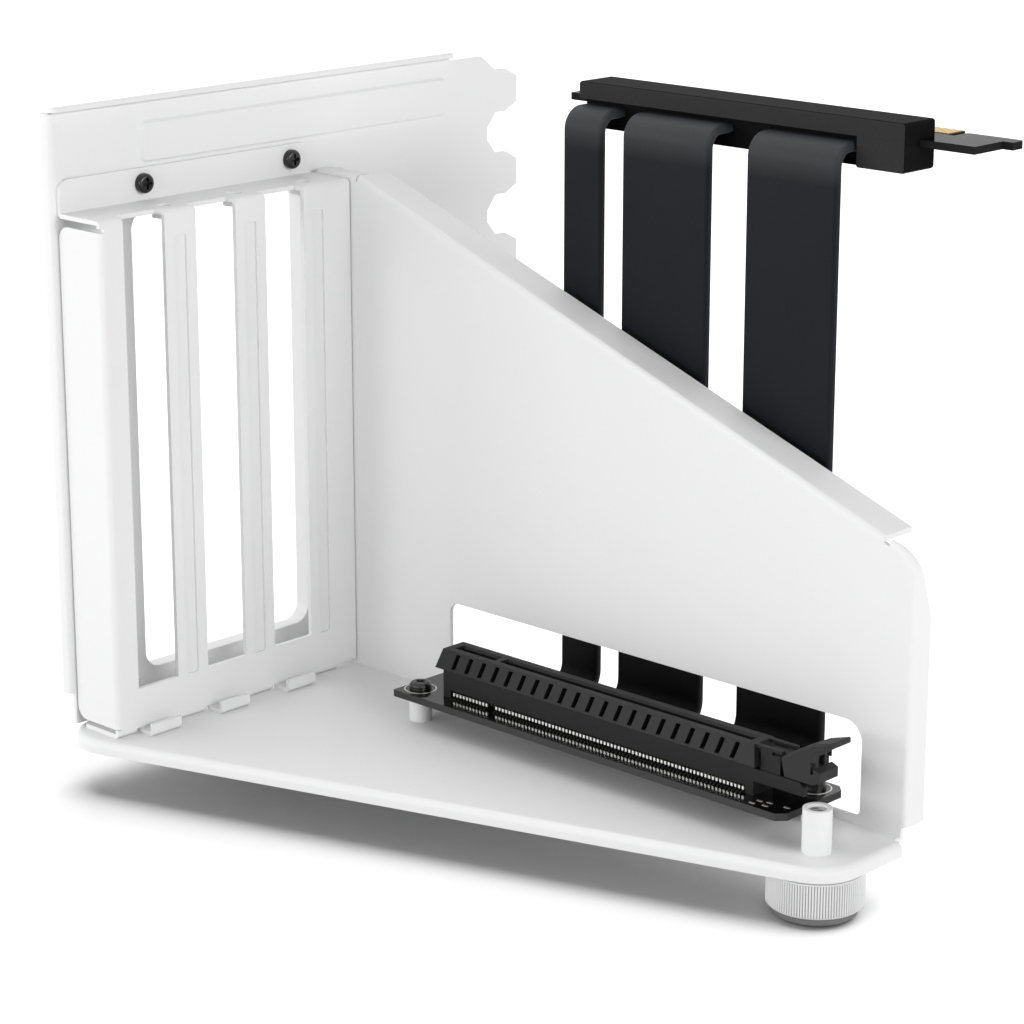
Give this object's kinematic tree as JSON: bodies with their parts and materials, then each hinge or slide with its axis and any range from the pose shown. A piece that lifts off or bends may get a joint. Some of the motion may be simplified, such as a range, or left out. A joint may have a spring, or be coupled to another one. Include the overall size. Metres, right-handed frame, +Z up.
{
  "type": "vertical graphics card mount",
  "caption": "Folded white steel bracket that stands a graphics card upright, with card socket, riser board, flat ribbons, edge plug and a screw foot.",
  "frame": {"origin": "middle of the screw foot's underside, where the foot meets the floor of the case", "axes": "+Z up, +X along the wall from the slot face to the foot, +Y from the wall's front to the ribbons behind it"},
  "size_m": [0.1802, 0.1472, 0.155],
  "materials": {
    "white_coat": "matt white powder coat on folded steel",
    "black_screw": "black zinc",
    "white_rivet": "coated with the sheet",
    "plated_steel": "zinc plated",
    "board": "black solder mask",
    "socket_black": "moulded black",
    "tinned": "tinned",
    "gold": "gold plated",
    "rubber": "dull",
    "white_plastic": "moulded white",
    "ribbon": "satin charcoal wrap",
    "plug_black": "moulded black"
  },
  "bodies": {
    "bracket": {"main_bracket": "white_coat", "rear_plate": "white_coat", "gpu_slot_bracket": "white_coat", "bracket_screws": "black_screw", "board_screws": "black_screw", "tab_rivets": "white_rivet", "wall_rivets": "white_rivet", "base_rivets": "white_rivet", "riser_board": "board", "plug_board": "board", "socket_housing": "socket_black", "socket_contacts": "tinned", "edge_contacts": "gold", "board_standoffs": "white_plastic", "foot_bushing": "white_plastic", "ribbon_1": "ribbon", "ribbon_2": "ribbon", "ribbon_3": "ribbon", "plug_housing": "plug_black", "plug_cover": "plug_black"},
    "latch": {"socket_latch": "socket_black"},
    "foot_rest": {"foot_pad": "rubber"},
    "foot_screw": {"foot_knob": "white_plastic", "foot_stud": "plated_steel"}
  },
  "joints": [
    {"name": "latch_release", "type": "hinge", "parent": "bracket", "child": "latch", "pos_m": [-0.004, 0.0036, 0.0276], "axis": [0, 1, 0], "range_deg": [0, 15]},
    {"name": "foot_lift", "type": "slide", "parent": "bracket", "child": "foot_rest", "axis": [0, 0, 1], "range_m": [-0.0056, 0.00017]},
    {"name": "foot_turn", "type": "hinge", "parent": "foot_rest", "child": "foot_screw", "pos_m": [0, 0, 0], "axis": [0, 0, 1], "range_deg": [-2880, 90]}
  ],
  "couplings": [
    {"joint": "foot_lift", "follows": "foot_turn", "m_per_rad": 0.00011141}
  ]
}
